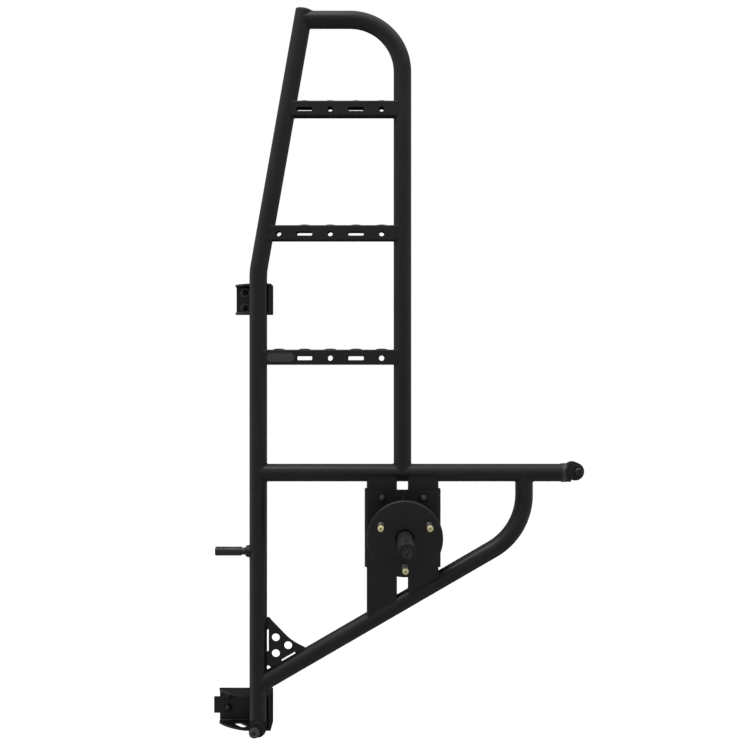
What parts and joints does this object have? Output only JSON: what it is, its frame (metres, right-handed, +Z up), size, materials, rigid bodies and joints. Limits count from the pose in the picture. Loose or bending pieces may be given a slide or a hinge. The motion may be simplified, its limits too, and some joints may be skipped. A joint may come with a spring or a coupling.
{
  "type": "van rear door ladder with spare wheel carrier",
  "caption": "Bent steel tube ladder for a van rear door, with grip-dimpled rungs, door brackets, a braced spare wheel carrier plate and a hub stub, in black powder coat.",
  "frame": {"origin": "middle of the lower bracket's flat back face, where it lies on the van door", "axes": "+Z up, +Y into the door, +X to the right seen from behind the van"},
  "size_m": [0.9406, 0.5063, 1.8333],
  "materials": {
    "black_powder_coat": "satin black powder coat on steel",
    "black_plastic": "matt black moulded plastic",
    "grey_plate": "plain satin dark grey plate",
    "gloss_grip": "glossy black sleeve",
    "steel_bolts": "dull dark zinc on steel",
    "brass_nuts": "pale yellow brass-coloured plating"
  },
  "bodies": {
    "root": {"left_stile": "black_powder_coat", "stile_top_cap": "black_plastic", "right_stile": "black_powder_coat", "cross_tube": "black_powder_coat", "diagonal_brace": "black_powder_coat", "rung_top": "black_powder_coat", "rung_middle": "black_powder_coat", "rung_bottom": "black_powder_coat", "name_plate_blank": "grey_plate", "corner_gusset": "black_powder_coat", "upper_bracket": "black_powder_coat", "lower_bracket": "black_powder_coat", "lower_eye_sleeve": "black_powder_coat", "lower_eye_bushing": "black_plastic", "lower_eye_bolt": "steel_bolts", "end_collar": "black_powder_coat", "end_eye_sleeve": "black_powder_coat", "end_eye_bushing": "black_plastic", "end_eye_bolt": "steel_bolts", "side_peg_nut": "black_powder_coat", "side_peg_grip": "gloss_grip", "upright_left": "black_powder_coat", "upright_right": "black_powder_coat", "slide_plate": "black_powder_coat", "slide_bolt_upper_left": "steel_bolts", "slide_bolt_upper_right": "steel_bolts", "slide_bolt_lower_left": "steel_bolts", "slide_bolt_lower_right": "steel_bolts", "standoff_tube": "black_powder_coat", "standoff_rib_top": "black_powder_coat", "standoff_rib_bottom": "black_powder_coat", "wheel_disc": "black_powder_coat", "wheel_stud_left": "steel_bolts", "wheel_stud_right": "steel_bolts", "wheel_stud_bottom": "steel_bolts", "lug_nut_left": "brass_nuts", "lug_nut_right": "brass_nuts", "lug_nut_bottom": "brass_nuts", "hub_stub": "black_powder_coat", "hub_stub_cap": "black_plastic"}
  },
  "joints": []
}
